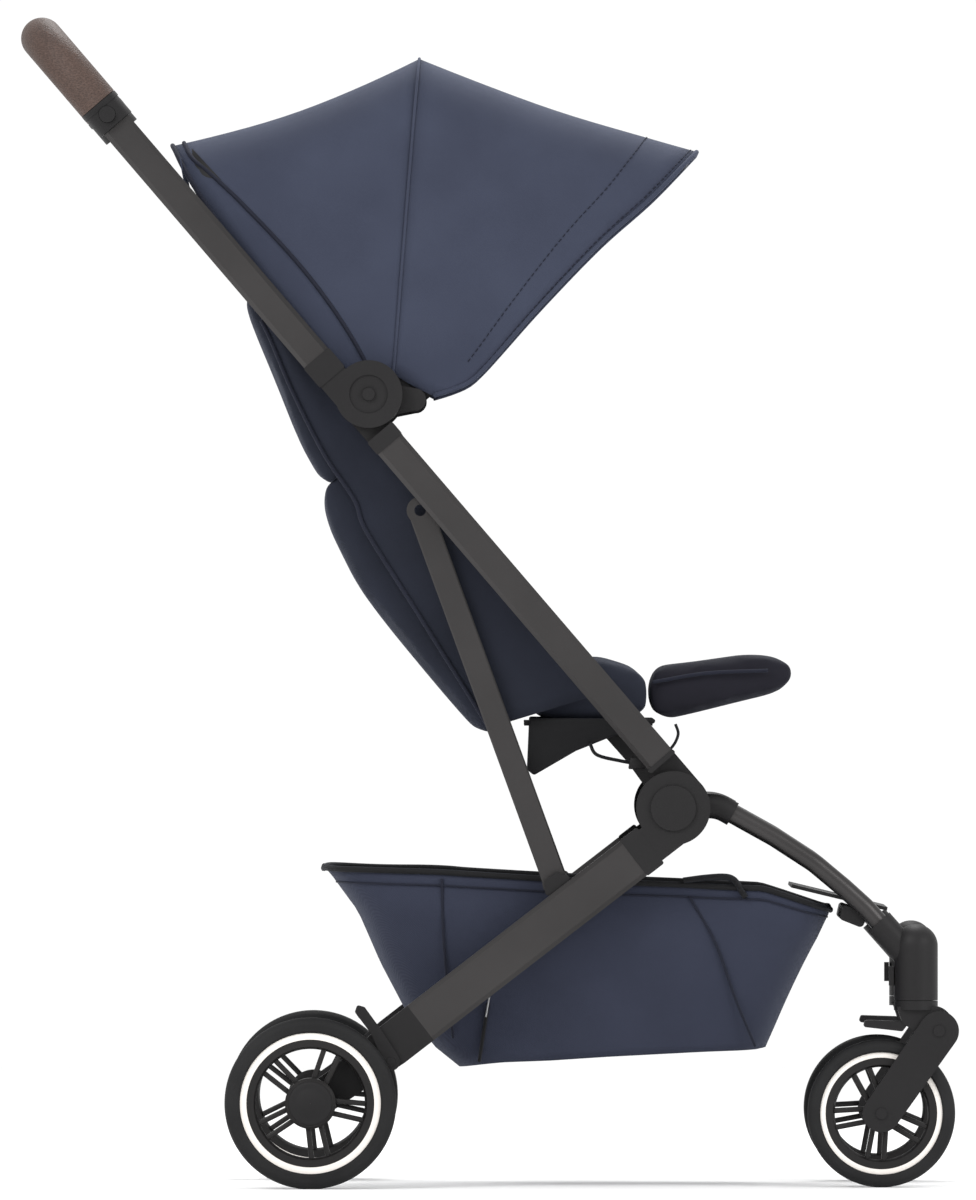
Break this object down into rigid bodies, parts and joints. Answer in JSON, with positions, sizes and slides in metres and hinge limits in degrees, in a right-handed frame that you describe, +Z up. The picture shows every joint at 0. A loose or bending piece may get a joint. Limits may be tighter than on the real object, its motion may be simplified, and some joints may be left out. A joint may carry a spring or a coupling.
{
  "type": "baby stroller",
  "caption": "Compact folding baby stroller with canopy, reclining padded seat, leg rest, basket, swivel front casters and leatherette handle.",
  "frame": {"origin": "floor level, middle of the stroller's length and width", "axes": "+X forward, +Y to the stroller's left, +Z up"},
  "size_m": [0.832, 0.455, 1.038],
  "materials": {
    "tube": "satin",
    "plastic": "matte",
    "grip": "matte",
    "rubber": "matte",
    "rim": "satin",
    "steel": "satin",
    "canopy_fabric": "matte",
    "seat_fabric": "matte",
    "basket_fabric": "matte",
    "bow_plastic": "matte"
  },
  "bodies": {
    "chassis": {"lower_tube_right": "tube", "lower_tube_left": "tube", "lower_hinge_right": "plastic", "lower_hinge_left": "plastic", "hub_socket_right": "plastic", "hub_socket_left": "plastic", "hub_cross_tube": "tube", "seat_frame": "plastic", "seat_cushion": "seat_fabric"},
    "backrest": {"backrest_lower": "seat_fabric", "backrest_upper": "seat_fabric"},
    "leg_rest_panel": {"leg_rest": "seat_fabric"},
    "upper_frame": {"upper_tube_right": "tube", "upper_tube_left": "tube", "upper_hinge_right": "plastic", "upper_hinge_left": "plastic", "handle_grip": "grip", "handle_collars": "plastic", "canopy_clamps": "plastic", "canopy_rear_bow": "bow_plastic", "canopy_rear_panel": "canopy_fabric"},
    "button_right": {"handle_button_right": "plastic"},
    "button_left": {"handle_button_left": "plastic"},
    "canopy_middle": {"canopy_middle_bow": "bow_plastic", "canopy_front_panel": "canopy_fabric"},
    "canopy_front": {"canopy_front_bow": "bow_plastic"},
    "rear_frame": {"rear_hub_right": "plastic", "rear_hub_left": "plastic", "rear_leg_right": "tube", "rear_leg_left": "tube", "leg_foot_right": "plastic", "leg_foot_left": "plastic", "rear_axle": "steel", "strut_brackets": "plastic", "basket": "basket_fabric"},
    "struts": {"strut_right": "tube", "strut_left": "tube"},
    "pedal": {"brake_pedal": "plastic"},
    "front_frame": {"front_hub_right": "plastic", "front_hub_left": "plastic", "front_leg_right": "tube", "front_leg_left": "tube", "caster_housing_right": "plastic", "caster_housing_left": "plastic", "front_crossbar": "plastic", "foot_plate": "plastic"},
    "swivel_tab_right": {"swivel_lock_right": "plastic"},
    "caster_right": {"caster_fork_right": "plastic"},
    "suspension_right": {"suspension_arm_right": "plastic"},
    "front_wheel_right": {"front_tyre_right": "rubber", "front_rim_right": "rim"},
    "rear_wheel_right": {"rear_tyre_right": "rubber", "rear_rim_right": "rim"},
    "swivel_tab_left": {"swivel_lock_left": "plastic"},
    "caster_left": {"caster_fork_left": "plastic"},
    "suspension_left": {"suspension_arm_left": "plastic"},
    "front_wheel_left": {"front_tyre_left": "rubber", "front_rim_left": "rim"},
    "rear_wheel_left": {"rear_tyre_left": "rubber", "rear_rim_left": "rim"}
  },
  "joints": [
    {"name": "frame_fold", "type": "hinge", "parent": "chassis", "child": "rear_frame", "pos_m": [0.1619, 0, 0.3367], "axis": [0, 1, 0], "range_deg": [0, 80], "deforming": ["basket", "seat_cushion", "backrest_lower", "backrest_upper", "leg_rest", "canopy_rear_panel", "canopy_front_panel"]},
    {"name": "upper_fold", "type": "hinge", "parent": "chassis", "child": "upper_frame", "pos_m": [-0.10796, 0, 0.70334], "axis": [0, 1, 0], "range_deg": [0, 168]},
    {"name": "front_fold", "type": "hinge", "parent": "chassis", "child": "front_frame", "pos_m": [0.1619, 0, 0.3367], "axis": [0, 1, 0], "range_deg": [0, 160]},
    {"name": "strut_turn", "type": "hinge", "parent": "rear_frame", "child": "struts", "pos_m": [0.05797, 0, 0.27003], "axis": [0, 1, 0], "range_deg": [-104, 0]},
    {"name": "canopy_middle_turn", "type": "hinge", "parent": "upper_frame", "child": "canopy_middle", "pos_m": [-0.0672, 0, 0.6987], "axis": [0, 1, 0], "range_deg": [-38, 0]},
    {"name": "canopy_front_turn", "type": "hinge", "parent": "canopy_middle", "child": "canopy_front", "pos_m": [-0.0672, 0, 0.6987], "axis": [0, 1, 0], "range_deg": [-42, 0]},
    {"name": "backrest_recline", "type": "hinge", "parent": "chassis", "child": "backrest", "pos_m": [0.0128, 0, 0.3929], "axis": [0, 1, 0], "range_deg": [-25, 0]},
    {"name": "leg_rest_drop", "type": "hinge", "parent": "chassis", "child": "leg_rest_panel", "pos_m": [0.1394, 0, 0.418], "axis": [0, 1, 0], "range_deg": [0, 40]},
    {"name": "brake_press", "type": "hinge", "parent": "rear_frame", "child": "pedal", "pos_m": [-0.08812, -0.198, 0.11237], "axis": [0, 1, 0], "range_deg": [-15, 0]},
    {"name": "button_press_right", "type": "slide", "parent": "upper_frame", "child": "button_right", "axis": [0, 1, 0], "range_m": [0, 0.0025], "stiffness_N_per_m": 400, "springref_m": -0.001},
    {"name": "caster_swivel_right", "type": "hinge", "parent": "front_frame", "child": "caster_right", "pos_m": [0.3774, -0.14, 0.166], "axis": [0, 0, 1], "continuous": true},
    {"name": "suspension_right_lift", "type": "hinge", "parent": "caster_right", "child": "suspension_right", "pos_m": [0.3978, -0.14, 0.1389], "axis": [0, 1, 0], "range_deg": [0, 4], "stiffness_Nm_per_rad": 20, "springref_deg": -11.46},
    {"name": "front_wheel_right_spin", "type": "hinge", "parent": "suspension_right", "child": "front_wheel_right", "pos_m": [0.3467, -0.14, 0.0656], "axis": [0, 1, 0], "continuous": true},
    {"name": "rear_wheel_right_spin", "type": "hinge", "parent": "rear_frame", "child": "rear_wheel_right", "pos_m": [-0.15931, -0.2155, 0.0758], "axis": [0, 1, 0], "continuous": true},
    {"name": "swivel_lock_right_slide", "type": "slide", "parent": "front_frame", "child": "swivel_tab_right", "axis": [0, 0, 1], "range_m": [-0.005, 0]},
    {"name": "button_press_left", "type": "slide", "parent": "upper_frame", "child": "button_left", "axis": [0, -1, 0], "range_m": [0, 0.0025], "stiffness_N_per_m": 400, "springref_m": -0.001},
    {"name": "caster_swivel_left", "type": "hinge", "parent": "front_frame", "child": "caster_left", "pos_m": [0.3774, 0.14, 0.166], "axis": [0, 0, 1], "continuous": true},
    {"name": "suspension_left_lift", "type": "hinge", "parent": "caster_left", "child": "suspension_left", "pos_m": [0.3978, 0.14, 0.1389], "axis": [0, 1, 0], "range_deg": [0, 4], "stiffness_Nm_per_rad": 20, "springref_deg": -11.46},
    {"name": "front_wheel_left_spin", "type": "hinge", "parent": "suspension_left", "child": "front_wheel_left", "pos_m": [0.3467, 0.14, 0.0656], "axis": [0, 1, 0], "continuous": true},
    {"name": "rear_wheel_left_spin", "type": "hinge", "parent": "rear_frame", "child": "rear_wheel_left", "pos_m": [-0.15931, 0.2155, 0.0758], "axis": [0, 1, 0], "continuous": true},
    {"name": "swivel_lock_left_slide", "type": "slide", "parent": "front_frame", "child": "swivel_tab_left", "axis": [0, 0, 1], "range_m": [-0.005, 0]}
  ],
  "couplings": [
    {"joint": "upper_fold", "follows": "frame_fold", "ratio": 2.1},
    {"joint": "front_fold", "follows": "frame_fold", "ratio": 2},
    {"joint": "strut_turn", "follows": "frame_fold", "ratio": -1.3},
    {"joint": "canopy_middle_turn", "follows": "frame_fold", "ratio": -0.475},
    {"joint": "canopy_front_turn", "follows": "frame_fold", "ratio": -0.525}
  ]
}
